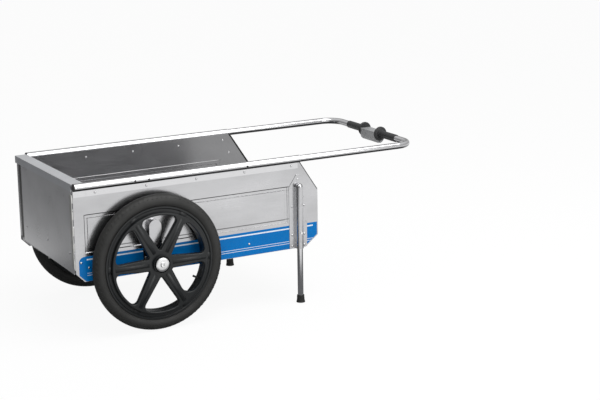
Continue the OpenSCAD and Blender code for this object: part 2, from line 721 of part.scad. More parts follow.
module right_side_panel() color(alu) place() side_panel(0);
module right_rail() color(alu) place() rail(0);
module right_rail_plug() color(dark) place() rail_plug(0);
module right_rail_rivets() color(steel) place() rail_rivets();
module right_leg_bracket() color(alu) place() leg_bracket();
module right_axle_bracket() color(alu) place() axle_bracket();
module right_bracket_rivets() color(steel) place() bracket_rivets();
module right_axle() color(steel) place() axle();
module right_hinge_side_leaf() color(steel) place() hinge_side_leaf();
module gate_hinge_fixed_leaf() color(steel) place() gate_fixed_leaf();
module right_floor() color(alu) place() floor_half();
module right_hinge_floor_leaf() color(steel) place() hinge_floor_leaf();
module right_hinge_pin() color(steel) place() side_hinge_pin();
module centre_hinge_right_leaf() color(steel) place() centre_leaf(0);
module left_floor() color(alu) place() left_side() floor_half();
module left_hinge_floor_leaf() color(steel) place() left_side() hinge_floor_leaf();
module left_hinge_pin() color(steel) place() left_side() side_hinge_pin();
module centre_hinge_left_leaf() color(steel) place() left_side() centre_leaf(1);
module centre_hinge_pin() color(steel) place()
    bar_x(0, centre_axis_z, floor_x0 + sheet, floor_x1 - sheet, 2 * hinge_pin_r);
module left_side_panel() color(alu) place() left_side() side_panel(tail_lip);
module left_rail() color(alu) place() left_side() rail(left_rail_x0);
module left_rail_plug() color(dark) place() left_side() rail_plug(left_rail_x0);
module left_rail_rivets() color(steel) place() left_side() rail_rivets();
module left_leg_bracket() color(alu) place() left_side() leg_bracket();
module left_axle_bracket() color(alu) place() left_side() axle_bracket();
module left_bracket_rivets() color(steel) place() left_side() bracket_rivets();
module left_axle() color(steel) place() left_side() axle();
module left_hinge_side_leaf() color(steel) place() left_side() hinge_side_leaf();
module tail_gate_part() color(alu) place() tail_gate();
module gate_cap_part() color(alu) place() gate_cap();
module gate_seal_part() color(dark) place() gate_seal();
module gate_rivets_part() color(steel) place() gate_rivets();
module gate_hinge_leaf_part() color(steel) place() gate_hinge_leaf();
module gate_hinge_pin_part() color(steel) place() gate_hinge_pin();
module right_wheel() color(dark) place() wheel();
module right_tyre() color(dark) place() tyre();
module right_inner_tube() color(dark) place() inner_tube();
module right_bearings() color(steel) place() bearings();
module right_axle_cap() color(steel) place() axle_cap();
module left_wheel() color(dark) place() left_side() wheel();
module left_tyre() color(dark) place() left_side() tyre();
module left_inner_tube() color(dark) place() left_side() inner_tube();
module left_bearings() color(steel) place() left_side() bearings();
module left_axle_cap() color(steel) place() left_side() axle_cap();
module right_leg() color(alu) place() leg();
module right_foot() color(dark) place() foot();
module right_leg_button() color(steel) place() leg_button();
module left_leg() color(alu) place() left_side() leg();
module left_foot() color(dark) place() left_side() foot();
module left_leg_button() color(steel) place() left_side() leg_button();
module right_handle_guide() color(dark) place() handle_guide();
module right_handle_tube() color(alu) place() handle_tube();
module right_grip() color(dark) place() grip();
module right_disc() color(dark) place() stop_disc();
module coupler_tongue_part() color(steel) place() coupler_tongue();
module left_handle_guide() color(dark) place() left_side() handle_guide();
module left_handle_tube() color(alu) place() left_side() handle_tube();
module left_grip() color(dark) place() left_side() grip();
module left_disc() color(dark) place() left_side() stop_disc();
module coupler_block_part() color(steel) place() coupler_block();

right_side_panel();
right_rail();
right_rail_plug();
right_rail_rivets();
right_leg_bracket();
right_axle_bracket();
right_bracket_rivets();
right_axle();
right_hinge_side_leaf();
gate_hinge_fixed_leaf();
right_floor();
right_hinge_floor_leaf();
right_hinge_pin();
centre_hinge_right_leaf();
left_floor();
left_hinge_floor_leaf();
left_hinge_pin();
centre_hinge_left_leaf();
centre_hinge_pin();
left_side_panel();
left_rail();
left_rail_plug();
left_rail_rivets();
left_leg_bracket();
left_axle_bracket();
left_bracket_rivets();
left_axle();
left_hinge_side_leaf();
tail_gate_part();  // tail_gate
gate_cap_part();  // gate_cap
gate_seal_part();  // gate_seal
gate_rivets_part();  // gate_rivets
gate_hinge_leaf_part();  // gate_hinge_leaf
gate_hinge_pin_part();  // gate_hinge_pin
right_wheel();
right_tyre();
right_inner_tube();
right_bearings();
right_axle_cap();
left_wheel();
left_tyre();
left_inner_tube();
left_bearings();
left_axle_cap();
right_leg();
right_foot();
right_leg_button();
left_leg();
left_foot();
left_leg_button();
right_handle_guide();
right_handle_tube();
right_grip();
right_disc();
coupler_tongue_part();  // coupler_tongue
left_handle_guide();
left_handle_tube();
left_grip();
left_disc();
coupler_block_part();  // coupler_block
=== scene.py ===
import bpy, bmesh, math
from mathutils import Matrix, Vector


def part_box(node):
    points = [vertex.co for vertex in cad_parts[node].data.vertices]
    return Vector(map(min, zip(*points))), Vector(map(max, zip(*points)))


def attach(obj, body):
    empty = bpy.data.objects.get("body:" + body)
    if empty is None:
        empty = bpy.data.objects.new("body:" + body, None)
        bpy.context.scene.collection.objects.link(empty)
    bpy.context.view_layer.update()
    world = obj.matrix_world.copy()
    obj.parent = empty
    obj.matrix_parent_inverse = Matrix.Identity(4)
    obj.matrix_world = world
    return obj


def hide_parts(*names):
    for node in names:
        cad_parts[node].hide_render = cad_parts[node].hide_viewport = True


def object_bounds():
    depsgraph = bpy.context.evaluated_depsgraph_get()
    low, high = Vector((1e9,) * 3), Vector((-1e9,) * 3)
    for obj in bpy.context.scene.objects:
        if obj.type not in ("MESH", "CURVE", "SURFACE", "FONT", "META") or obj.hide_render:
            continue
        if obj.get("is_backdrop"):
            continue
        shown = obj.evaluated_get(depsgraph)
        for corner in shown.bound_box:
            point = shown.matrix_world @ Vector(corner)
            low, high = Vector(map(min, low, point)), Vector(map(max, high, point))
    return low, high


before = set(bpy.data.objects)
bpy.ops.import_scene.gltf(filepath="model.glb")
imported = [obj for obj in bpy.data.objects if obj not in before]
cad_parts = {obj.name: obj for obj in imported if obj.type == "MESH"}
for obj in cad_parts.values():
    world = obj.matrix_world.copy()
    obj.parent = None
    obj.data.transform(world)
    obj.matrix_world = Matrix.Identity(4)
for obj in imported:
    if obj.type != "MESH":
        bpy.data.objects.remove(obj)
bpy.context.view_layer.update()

# ---------------------------------------------------------------- viewpoint
# The wagon is seen from its right rear corner, a little above the top rails,
# through a long lens so that its parallel edges stay nearly parallel.
def added(name, data):
    """A new object that holds this data, at the scene's origin."""
    made = bpy.data.objects.new(name, data)
    bpy.context.collection.objects.link(made)
    return made


turn, rise, tilt = math.radians(-28.95), math.radians(13.58), math.radians(-0.83)
distance = 6.5556
tail_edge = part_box("right_side_panel")[0].x
aim = Vector((tail_edge + 1.11475, 0.07046, 0.29957))
ahead = Vector((-math.sin(turn) * math.cos(rise), math.cos(turn) * math.cos(rise), -math.sin(rise)))
level = ahead.cross(Vector((0, 0, 1))).normalized()
upright = level.cross(ahead)
right_axis = level * math.cos(tilt) + upright * math.sin(tilt)
up_axis = upright * math.cos(tilt) - level * math.sin(tilt)
eye = bpy.data.cameras.new("eye")
eye.sensor_fit, eye.sensor_width, eye.lens = "HORIZONTAL", 36.0, 96.59
eye.clip_start, eye.clip_end = 0.1, 200.0
camera = added("camera", eye)
camera.matrix_world = Matrix((right_axis, up_axis, -ahead)).transposed().to_4x4()
camera.location = aim - ahead * distance
bpy.context.scene.camera = camera
bpy.context.scene.view_settings.view_transform = "Standard"

# ---------------------------------------------------------------- studio
# A white floor sheet, one large overhead light box, a weaker one on the right side,
# and a surround that is darkest behind the tail and pale overhead.
def new_material(name):
    mat = bpy.data.materials.new(name)
    mat.use_nodes = True
    mat.node_tree.nodes.clear()
    return mat


def feed(tree, made, values):
    """Gives each input named in values its number or colour, or a link from a socket."""
    for label, value in values.items():
        if isinstance(value, bpy.types.NodeSocket):
            tree.links.new(value, made.inputs[label])
        else:
            made.inputs[label].default_value = value


def node(tree, kind, values=None, **settings):
    made = tree.nodes.new(kind)
    for key, value in settings.items():
        setattr(made, key, value)
    feed(tree, made, values or {})
    return made


def calc(tree, kind, first, *others, clamp=False):
    """Works out first alone, or first with each of the others in turn."""
    if not others:
        return node(tree, "ShaderNodeMath", {0: first}, operation=kind).outputs[0]
    for other in others:
        step = node(tree, "ShaderNodeMath", {0: first, 1: other}, operation=kind, use_clamp=clamp)
        first = step.outputs[0]
    return first


def ramp(tree, value, low, high, at_low=0.0, at_high=1.0, kind="SMOOTHSTEP"):
    made = node(tree, "ShaderNodeMapRange", {"Value": value, "From Min": low, "From Max": high,
                "To Min": at_low, "To Max": at_high}, interpolation_type=kind)
    return made.outputs["Result"]


def place_on(tree):
    """The piece's own coordinates, as three sockets."""
    coords = node(tree, "ShaderNodeTexCoord").outputs["Object"]
    return node(tree, "ShaderNodeSeparateXYZ", {0: coords}).outputs


# the sheet is white to the eye; in reflections, painted shade darkens it under the wagon and past the tail
sheet_white, mirrored_white, shade_depth = 0.92, 0.5, 0.9
white_sheet = new_material("white_sheet")
tree = white_sheet.node_tree
spot = place_on(tree)
past_tail = ramp(tree, spot["X"], -0.85, -1.25)
beside = ramp(tree, calc(tree, "ABSOLUTE", spot["Y"]), 1.0, 0.62)
behind_handle = ramp(tree, spot["X"], 1.5, 1.1)
under_wagon = calc(tree, "MULTIPLY", beside, behind_handle)
path = node(tree, "ShaderNodeLightPath").outputs
shaded = calc(tree, "MULTIPLY", calc(tree, "MAXIMUM", past_tail, under_wagon), shade_depth,
              path["Is Glossy Ray"])
seen = calc(tree, "MAXIMUM", path["Is Camera Ray"], path["Is Transmission Ray"])
seen = calc(tree, "MAXIMUM", calc(tree, "MULTIPLY", seen, sheet_white),
            calc(tree, "MULTIPLY", path["Is Glossy Ray"], mirrored_white))
diffuse = node(tree, "ShaderNodeBsdfDiffuse", {"Color": (0.86, 0.86, 0.86, 1)})
glow = node(tree, "ShaderNodeEmission", {"Color": (1, 1, 1, 1)})
shade = node(tree, "ShaderNodeEmission", {"Color": (0.075, 0.077, 0.082, 1)})
lit = node(tree, "ShaderNodeMixShader", {0: seen, 1: diffuse.outputs[0], 2: glow.outputs[0]})
mix = node(tree, "ShaderNodeMixShader", {0: shaded, 1: lit.outputs[0], 2: shade.outputs[0]})
node(tree, "ShaderNodeOutputMaterial", {"Surface": mix.outputs[0]})
half_sheet = 40
ground = bpy.data.meshes.new("ground")
ground.from_pydata([(x * half_sheet, y * half_sheet, 0) for x, y in ((-1, -1), (1, -1), (1, 1), (-1, 1))],
                   [], [(0, 1, 2, 3)])
ground.materials.append(white_sheet)
ground_sheet = added("ground", ground)
ground_sheet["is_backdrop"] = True

surround = bpy.data.worlds.new("surround")
bpy.context.scene.world = surround
surround.use_nodes = True
tree = surround.node_tree
tree.nodes.clear()
seen_way = node(tree, "ShaderNodeTexCoord").outputs["Generated"]
way = node(tree, "ShaderNodeSeparateXYZ", {0: seen_way}).outputs
around_wagon = ramp(tree, way["X"], -1.0, -0.15, 0.17, 0.62)
overhead = ramp(tree, way["Z"], 0.12, 0.75)
grey = node(tree, "ShaderNodeMix", {"Factor": overhead, "A": around_wagon, "B": 0.95}, data_type="FLOAT")
sky = node(tree, "ShaderNodeBackground", {"Color": grey.outputs["Result"], "Strength": 0.8})
node(tree, "ShaderNodeOutputWorld", {"Surface": sky.outputs[0]})


def light_box(name, place, target, width, height, power):
    lamp = bpy.data.lights.new(name, "AREA")
    lamp.shape, lamp.size, lamp.size_y, lamp.energy = "RECTANGLE", width, height, power
    holder = added(name, lamp)
    holder.location = place
    holder.rotation_mode = "QUATERNION"
    holder.rotation_quaternion = (Vector(target) - Vector(place)).to_track_quat("-Z", "Y")


light_box("overhead_box", (0.6, -1.2, 3.4), (0.1, 0, 0.3), 3.6, 2.2, 75)
light_box("front_box", (1.6, -4.6, 1.9), (0.1, 0, 0.35), 2.6, 1.8, 50)

# ---------------------------------------------------------------- side panels
# Each side is one sheet of rolled aluminium with a groove pressed round a field and a lip
# folded inwards at the handle end. A blue vinyl band with white pinstripes runs below.
def group(name, kind, inputs, outputs):
    """A tree with named inputs and outputs; gives the tree, its input sockets and its end node."""
    made = bpy.data.node_groups.new(name, kind)
    for label, socket_kind, value in inputs:
        socket = made.interface.new_socket(label, in_out="INPUT", socket_type="NodeSocket" + socket_kind)
        if value is not None:
            socket.default_value = value
    for label, socket_kind in outputs:
        made.interface.new_socket(label, in_out="OUTPUT", socket_type="NodeSocket" + socket_kind)
    return made, node(made, "NodeGroupInput").outputs, node(made, "NodeGroupOutput")


def noise(tree, detail, scale=1.0, stretch=(1, 1, 1), roughness=0.5):
    """Noise on the piece's own coordinates, which stretch packs closer along each axis."""
    coords = node(tree, "ShaderNodeTexCoord").outputs["Object"]
    mapping = node(tree, "ShaderNodeMapping", {"Vector": coords, "Scale": stretch})
    made = node(tree, "ShaderNodeTexNoise", {"Vector": mapping.outputs["Vector"], "Scale": scale,
                "Detail": detail, "Roughness": roughness})
    return made.outputs["Fac"]


def scaled(tree, colour, amount):
    return node(tree, "ShaderNodeVectorMath", {0: colour, "Scale": amount}, operation="SCALE").outputs[0]


def mixed(tree, amount, under, over):
    """The colour under, covered by the colour over where amount is 1."""
    made = node(tree, "ShaderNodeMix", {"Factor": amount, "A": under, "B": over}, data_type="RGBA")
    return made.outputs["Result"]


# rolled metal: long fine lines along X, soft cloudy blotches and sparse specks of dirt
rolled, taken, given = group("rolled_metal", "ShaderNodeTree",
    [("Lines", "Float", 0.3), ("Blotches", "Float", 0.3), ("Base", "Color", (0.6, 0.6, 0.6, 1)),
     ("Roughness", "Float", 0.35), ("Dirt", "Float", 0.3)],
    [("Color", "Color"), ("Roughness", "Float"), ("Height", "Float")])
line_off = calc(rolled, "SUBTRACT", noise(rolled, 4.0, stretch=(6, 700, 700)), 0.5)
cloud_off = calc(rolled, "SUBTRACT", noise(rolled, 5.0, stretch=(3.5, 9, 9), roughness=0.55), 0.5)
specks = ramp(rolled, noise(rolled, 6.0, stretch=(45, 60, 60)), 0.58, 0.75, kind="LINEAR")
lines = calc(rolled, "MULTIPLY", line_off, taken["Lines"])
clouds = calc(rolled, "MULTIPLY", cloud_off, taken["Blotches"])
dirt = calc(rolled, "MULTIPLY", specks, taken["Dirt"])
gain = calc(rolled, "ADD", calc(rolled, "MULTIPLY", lines, 0.6), clouds, 1.0)
gain = calc(rolled, "SUBTRACT", gain, calc(rolled, "MULTIPLY", dirt, 0.35))
rough = calc(rolled, "ADD", taken["Roughness"], calc(rolled, "MULTIPLY", clouds, 0.35),
             calc(rolled, "MULTIPLY", lines, 0.35))
rough = calc(rolled, "ADD", rough, calc(rolled, "MULTIPLY", dirt, 0.25), clamp=True)
height = calc(rolled, "ADD", line_off, calc(rolled, "MULTIPLY", cloud_off, 3.0))
feed(rolled, given, {"Color": scaled(rolled, taken["Base"], gain), "Roughness": rough, "Height": height})


def finished(name, effect, values, relief_strength, relief_mm):
    """A material whose colour, roughness and relief come from one effect's group."""
    mat = new_material(name)
    tree = mat.node_tree
    body = node(tree, "ShaderNodeGroup", values, node_tree=effect).outputs
    relief = node(tree, "ShaderNodeBump", {"Strength": relief_strength, "Distance": relief_mm / 1000,
                  "Height": body["Height"]})
    skin = node(tree, "ShaderNodeBsdfPrincipled", {"Base Color": body["Color"],
                "Roughness": body["Roughness"], "Normal": relief.outputs["Normal"]})
    node(tree, "ShaderNodeOutputMaterial", {"Surface": skin.outputs[0]})
    return mat, tree, skin, body


def metal(name, base, roughness, line_amount, blotches, dirt_amount, relief_mm):
    values = {"Base": (*base, 1), "Roughness": roughness, "Lines": line_amount,
              "Blotches": blotches, "Dirt": dirt_amount}
    mat, tree, skin, body = finished(name, rolled, values, 0.6, relief_mm)
    skin.inputs["Metallic"].default_value = 1.0
    return mat, tree, skin, body


def paint(piece, mat):
    piece.data.materials.clear()
    piece.data.materials.append(mat)


def dress(names, mat):
    for name in names:
        paint(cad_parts[name], mat)


def between(tree, value, low, high, soft=0.0004):
    """1 inside low..high, with edges that fade over soft metres to each side."""
    after_low = ramp(tree, value, low - soft, low + soft, kind="LINEAR")
    before_high = ramp(tree, value, high - soft, high + soft, 1.0, 0.0, "LINEAR")
    return calc(tree, "MULTIPLY", after_low, before_high)


sheet_base = (0.54, 0.54, 0.55)
side_low, side_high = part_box("right_side_panel")
sheet_face = -side_low.y
side_skin, tree, skin, body = metal("banded_side_sheet", sheet_base, 0.235, 0.35, 0.55, 0.06, 0.008)
at_x, at_y, at_z = place_on(tree)

# the band lies on the outer face alone: its upper tail corner is rounded, its lower one is
# cut off, and its handle end follows the panel's lower chamfer
band_left, band_right, band_low, band_top = side_low.x + 0.012, side_high.x - 0.004, 0.213, 0.305
band_corner = 0.022
tail_cut = side_low.x + 0.006 + 0.244
toe_x, toe_z, toe_slope = side_high.x - 0.061, 0.212, 1.31
outside = calc(tree, "GREATER_THAN", calc(tree, "ABSOLUTE", at_y), sheet_face - 0.00015)
corner_x = calc(tree, "MAXIMUM", calc(tree, "SUBTRACT", band_left + band_corner, at_x), 0.0)
corner_z = calc(tree, "MAXIMUM", calc(tree, "SUBTRACT", at_z, band_top - band_corner), 0.0)
from_centre = calc(tree, "SQRT", calc(tree, "ADD", calc(tree, "POWER", corner_x, 2.0),
                                      calc(tree, "POWER", corner_z, 2.0)))
in_corner = calc(tree, "LESS_THAN", from_centre, band_corner)
in_tail = calc(tree, "GREATER_THAN", calc(tree, "ADD", at_x, at_z), tail_cut)
toe_reach = calc(tree, "MULTIPLY", calc(tree, "SUBTRACT", at_z, toe_z), toe_slope)
in_toe = calc(tree, "GREATER_THAN", toe_reach, calc(tree, "SUBTRACT", at_x, toe_x))
band = calc(tree, "MULTIPLY", between(tree, at_x, band_left, band_right),
            between(tree, at_z, band_low, band_top), outside, in_corner, in_tail, in_toe)
pinstripes = ((0.2905, 0.2955), (0.2418, 0.2436), (0.2338, 0.2356))
stripes = calc(tree, "MAXIMUM", *(between(tree, at_z, low, high) for low, high in pinstripes))
stripes = calc(tree, "MULTIPLY", stripes, band, between(tree, at_x, band_left + 0.03, band_right - 0.018))
vinyl = mixed(tree, noise(tree, 5.0, scale=14.0), (0.0, 0.125, 0.40, 1), (0.0, 0.165, 0.48, 1))
vinyl = mixed(tree, stripes, vinyl, (0.72, 0.78, 0.84, 1))


# painted shade darkens the corners of the pressed groove and is darkest along its upper side
def crease_shade_line(height, below, above):
    return between(tree, at_z, height - below, height + above)


groove_low, groove_high = (0.317, 0.331), (0.444, 0.458)
faint = 0.35
upper_crease_shade = calc(tree, "MAXIMUM", crease_shade_line(groove_high[1], 0.0030, 0.0006),
                   calc(tree, "MULTIPLY", crease_shade_line(groove_high[0], 0.0008, 0.0008), faint))
lower_crease_shade = calc(tree, "MAXIMUM", crease_shade_line(groove_low[1], 0.0006, 0.0022),
                   calc(tree, "MULTIPLY", crease_shade_line(groove_low[0], 0.0008, 0.0008), faint))
crease_shade_span = between(tree, at_x, side_low.x + 0.045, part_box("right_leg_bracket")[0].x, 0.003)
crease_shade_far = ramp(tree, at_y, 0.05, 0.10, 1.0, 0.35)
crease_shade = calc(tree, "MAXIMUM", upper_crease_shade, calc(tree, "MULTIPLY", lower_crease_shade, 0.8))
crease_shade = calc(tree, "MULTIPLY", crease_shade, crease_shade_span, crease_shade_far, 0.85)
# painted shade: a dark band follows the panel's upper chamfer at the handle end
chamfer_x, chamfer_z, chamfer_end = side_low.x + 0.906, 0.564, 0.434
slope_x, slope_z = 0.834, 0.552
from_edge = calc(tree, "ADD", calc(tree, "MULTIPLY", calc(tree, "SUBTRACT", chamfer_x, at_x), slope_x),
                 calc(tree, "MULTIPLY", calc(tree, "SUBTRACT", chamfer_z, at_z), slope_z))
chamfer_shade = calc(tree, "MULTIPLY", between(tree, from_edge, -0.002, 0.0030, 0.0005),
            between(tree, at_z, chamfer_end, chamfer_z - 0.008, 0.001))
# painted shade: the left side's colour darkens towards the handle end, for the shade on its inner face
inside_shade = calc(tree, "MULTIPLY", ramp(tree, at_x, side_low.x + 0.15, side_high.x - 0.15, 0.0, 0.52),
            ramp(tree, at_y, 0.05, 0.10))
bare = scaled(tree, body["Color"], calc(tree, "SUBTRACT", 1.0, inside_shade))
# the painted shade of the groove's corners and of the chamfer band is mixed in here as a near-black colour
bare = mixed(tree, calc(tree, "MAXIMUM", crease_shade, chamfer_shade), bare, (0.035, 0.034, 0.033, 1))
feed(tree, skin, {"Base Color": mixed(tree, band, bare, vinyl),
                  "Metallic": calc(tree, "SUBTRACT", 1.0, band),
                  "Specular IOR Level": ramp(tree, band, 0.0, 1.0, 0.5, 0.12)})
dress(["right_side_panel", "left_side_panel"], side_skin)

sheet_skin = metal("rolled_sheet", sheet_base, 0.22, 0.35, 0.35, 0.35, 0.012)[0]
dress(["right_leg_bracket", "left_leg_bracket", "right_axle_bracket", "left_axle_bracket"], sheet_skin)

# ---------------------------------------------------------------- top rails
# Drawn aluminium tubes with a riveting strip along the lower side. They carry the
# telescoping handle tubes, and a black plug closes each one at the tail.
drawn_metal = ((0.66, 0.66, 0.67), 0.13, 0.18, 0.12, 0.15, 0.006)
rail_across = 0.029


def tube_skin(name, top, across):
    """Drawn tube with painted shade and reflection: a darker line on its top, a fine dark reflection line
    below it, and a darker underside.
    """
    mat, tree, skin, body = metal(name, *drawn_metal)
    height = place_on(tree)["Z"]
    # painted shade on the underside, and a painted grey line on the top and a painted dark reflection line
    # below it
    under = calc(tree, "MULTIPLY", ramp(tree, height, top - across * 0.70, top - across * 0.46, 0.75, 0.0),
                 ramp(tree, height, top - across * 1.06, top - across))
    crest_shade = ramp(tree, height, top - 0.0016, top - 0.0004, 0.0, 0.5)
    reflection_line = calc(tree, "MULTIPLY", between(tree, height, top - across * 0.27, top - across * 0.24), 0.3)
    shaded_gain = calc(tree, "SUBTRACT", 1.0, calc(tree, "MAXIMUM", under, crest_shade, reflection_line))
    feed(tree, skin, {"Base Color": scaled(tree, body["Color"], shaded_gain)})
    return mat


dress(["right_rail", "left_rail"], tube_skin("rail_tube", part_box("right_rail")[1].z, rail_across))

# moulded black: a fine sandy grain, paler where it is rubbed
grain, taken, given = group("moulded_grain", "ShaderNodeTree",
    [("Base", "Color", (0.03, 0.03, 0.03, 1)), ("Size", "Float", 900.0), ("Rubbed", "Float", 0.3),
     ("Roughness", "Float", 0.5)],
    [("Color", "Color"), ("Roughness", "Float"), ("Height", "Float")])
wear = calc(grain, "SUBTRACT", noise(grain, 6.0, scale=22.0), 0.45)
lift = calc(grain, "ADD", calc(grain, "MULTIPLY", wear, taken["Rubbed"]), 1.0)
rough = calc(grain, "ADD", taken["Roughness"], calc(grain, "MULTIPLY", wear, -0.25), clamp=True)
feed(grain, given, {"Color": scaled(grain, taken["Base"], lift), "Roughness": rough,
                    "Height": noise(grain, 2.0, scale=taken["Size"])})


def moulded(name, base, roughness, size, rubbed, relief_mm):
    values = {"Base": (*base, 1), "Size": size, "Rubbed": rubbed, "Roughness": roughness}
    return finished(name, grain, values, 0.5, relief_mm)[0]


black_moulding = moulded("black_moulding", (0.011, 0.011, 0.011), 0.36, 900.0, 0.5, 0.05)
dress(["right_rail_plug", "left_rail_plug", "right_handle_guide", "left_handle_guide"], black_moulding)

# ---------------------------------------------------------------- rivets
# Blind rivets with domed aluminium heads hold rail strips, brackets and the gate's cap.
# Each has its set tail on the other side of the sheet.
rivet_metal = metal("rivet_metal", (0.72, 0.72, 0.73), 0.25, 0.1, 0.2, 0.3, 0.01)[0]


def geometry_tree(name, inputs):
    return group(name, "GeometryNodeTree", [("Geometry", "Geometry", None)] + inputs,
                 [("Geometry", "Geometry")])


def finish_tree(tree, geometry, taken, given):
    real = node(tree, "GeometryNodeRealizeInstances", {0: geometry})
    coat = node(tree, "GeometryNodeSetMaterial", {"Geometry": real.outputs[0], "Material": taken["Material"]})
    feed(tree, given, {0: coat.outputs[0]})


def settled(seed):
    """The plain mesh that a seed object evaluates to; the seed is removed."""
    deps = bpy.context.evaluated_depsgraph_get()
    mesh = bpy.data.meshes.new_from_object(seed.evaluated_get(deps), depsgraph=deps)
    bpy.data.objects.remove(seed)
    return mesh


def grow(name, base_mesh, tree, values):
    """Runs a geometry tree on a mesh and keeps the result as a plain mesh object."""
    seed = added(name + "_seed", base_mesh)
    maker = seed.modifiers.new("tree", "NODES")
    maker.node_group = tree
    for item in tree.interface.items_tree:
        if item.in_out == "INPUT" and item.name in values:
            maker[item.identifier] = values[item.name]
    return added(name, settled(seed))


rivet_tree, taken, given = geometry_tree("rivet_heads",
    [("Radius", "Float", 0.0045), ("Rise", "Float", 0.44), ("Grip", "Float", 0.0036),
     ("Axis", "Vector", (0, -1, 0)), ("Material", "Material", None)])
ball = node(rivet_tree, "GeometryNodeMeshUVSphere", {"Segments": 20, "Rings": 10, "Radius": taken["Radius"]})
flat = node(rivet_tree, "ShaderNodeCombineXYZ", {"X": 1, "Y": 1, "Z": taken["Rise"]})
down = node(rivet_tree, "ShaderNodeCombineXYZ", {"Z": calc(rivet_tree, "MULTIPLY", taken["Grip"], -1.0)})
dome = node(rivet_tree, "GeometryNodeTransform", {"Geometry": ball.outputs["Mesh"], "Scale": flat.outputs[0]})
set_tail = node(rivet_tree, "GeometryNodeTransform", {"Geometry": ball.outputs["Mesh"],
                "Scale": (0.8, 0.8, 0.35), "Translation": down.outputs[0]})
both = node(rivet_tree, "GeometryNodeJoinGeometry")
for end in (dome, set_tail):
    rivet_tree.links.new(end.outputs[0], both.inputs[0])
facing = node(rivet_tree, "FunctionNodeAlignEulerToVector", {"Vector": taken["Axis"]}, axis="Z")
spread = node(rivet_tree, "GeometryNodeInstanceOnPoints", {"Points": taken["Geometry"],
              "Instance": both.outputs[0], "Rotation": facing.outputs[0]})
smooth = node(rivet_tree, "GeometryNodeSetShadeSmooth", {0: spread.outputs[0]})
finish_tree(rivet_tree, smooth.outputs[0], taken, given)


def points(name, places):
    mesh = bpy.data.meshes.new(name)
    mesh.from_pydata([tuple(p) for p in places], [], [])
    return mesh


def steps(first, last, count):
    return [first + (last - first) * i / (count - 1) for i in range(count)]


def middle(low_corner, high_corner):
    return (low_corner + high_corner) / 2


head_r, sheet_thick, plate_thick = 0.0045, 0.0016, 0.002
plate_face, head_seat = sheet_face + plate_thick, sheet_face + 0.0005
leg_across, leg_heights, leg_top = 0.0261, (0.222, 0.266, 0.378), 0.4825
axle_across, axle_heights = 0.033, (0.224, 0.268, 0.307)
# two at the tail corner and one mid-way hold the floor's flange through the blue band
band_rivets = ((0.050, 0.262), (0.020, 0.284), (0.694, 0.257))
for side, out_y in (("right", -1), ("left", 1)):
    low_corner, high_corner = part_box(side + "_rail_rivets")
    rail_z = middle(low_corner, high_corner).z
    row = [(x, out_y * plate_face, rail_z) for x in steps(low_corner.x + head_r, high_corner.x - head_r, 5)]
    heads = grow(side + "_rail_heads", points("row", row), rivet_tree,
                 {"Material": rivet_metal, "Axis": (0, out_y, 0), "Grip": plate_thick + sheet_thick})
    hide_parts(side + "_rail_rivets")
    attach(heads, side + "_side")
    leg_x = middle(*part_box(side + "_leg_bracket")).x
    axle_x = middle(*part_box(side + "_axle_bracket")).x
    places = [(leg_x + s * leg_across, out_y * plate_face, z) for s in (-1, 1) for z in leg_heights]
    places += [(leg_x, out_y * plate_face, leg_top)]
    places += [(axle_x + s * axle_across, out_y * plate_face, z) for s in (-1, 1) for z in axle_heights]
    places += [(side_low.x + x, out_y * head_seat, z) for x, z in band_rivets]
    heads = grow(side + "_bracket_heads", points("set", places), rivet_tree,
                 {"Material": rivet_metal, "Axis": (0, out_y, 0), "Grip": plate_thick + sheet_thick})
    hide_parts(side + "_bracket_rivets")
    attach(heads, side + "_side")
low_corner, high_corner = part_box("gate_rivets")
row = [(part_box("tail_gate")[0].x, y, middle(low_corner, high_corner).z)
       for y in steps(low_corner.y + head_r, high_corner.y - head_r, 3)]
heads = grow("gate_heads", points("row", row), rivet_tree,
             {"Material": rivet_metal, "Axis": (-1, 0, 0), "Grip": sheet_thick})
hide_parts("gate_rivets")
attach(heads, "gate")

# three small black stops stand on the outer side of each rail
stop_places, stop_r = (0.229, 0.283, 0.680), 0.0040
for side, out_y in (("right", -1), ("left", 1)):
    low_corner, high_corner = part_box(side + "_rail")
    rail_face, rail_mid = max(abs(low_corner.y), abs(high_corner.y)), high_corner.z - rail_across / 2
    stops = [(side_low.x + x, out_y * rail_face, rail_mid) for x in stop_places]
    pegs = grow(side + "_rail_stops", points("stops", stops), rivet_tree,
                {"Material": black_moulding, "Axis": (0, out_y, 0), "Radius": stop_r,
                 "Rise": 0.35, "Grip": 0.0})
    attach(pegs, side + "_side")

# ---------------------------------------------------------------- floor and hinges
# The floor is two folded aluminium trays joined by a piano hinge that rises when the
# wagon folds. Zinc-plated steel hinges join them to the sides.
floor_skin = metal("floor_sheet", (0.56, 0.56, 0.57), 0.36, 0.3, 0.45, 0.5, 0.04)[0]
dress(["right_floor", "left_floor"], floor_skin)
zinc = metal("zinc_plate", (0.62, 0.62, 0.60), 0.30, 0.05, 0.35, 0.4, 0.02)[0]
dress(["right_hinge_side_leaf", "left_hinge_side_leaf", "right_hinge_floor_leaf", "left_hinge_floor_leaf",
       "right_hinge_pin", "left_hinge_pin", "centre_hinge_right_leaf", "centre_hinge_left_leaf",
       "centre_hinge_pin"], zinc)

# ---------------------------------------------------------------- tail gate
# One flat aluminium sheet on an upright piano hinge at the right side. A folded cap is
# riveted on and hooks over the rails when it is shut, and a black strip lines its free edge.
# painted light: the gate's base is lighter than the sides' same aluminium, to make up for the darker surround
# behind the tail
lit_gate_skin = metal("lit_gate_sheet", (0.74, 0.74, 0.75), 0.30, 0.3, 0.3, 0.1, 0.004)[0]
dress(["tail_gate"], lit_gate_skin)
cap_skin = metal("cap_sheet", (0.76, 0.775, 0.80), 0.34, 0.3, 0.2, 0.15, 0.008)[0]
dress(["gate_cap"], cap_skin)
dress(["gate_seal"], black_moulding)
dress(["gate_hinge_fixed_leaf", "gate_hinge_leaf", "gate_hinge_pin"], zinc)

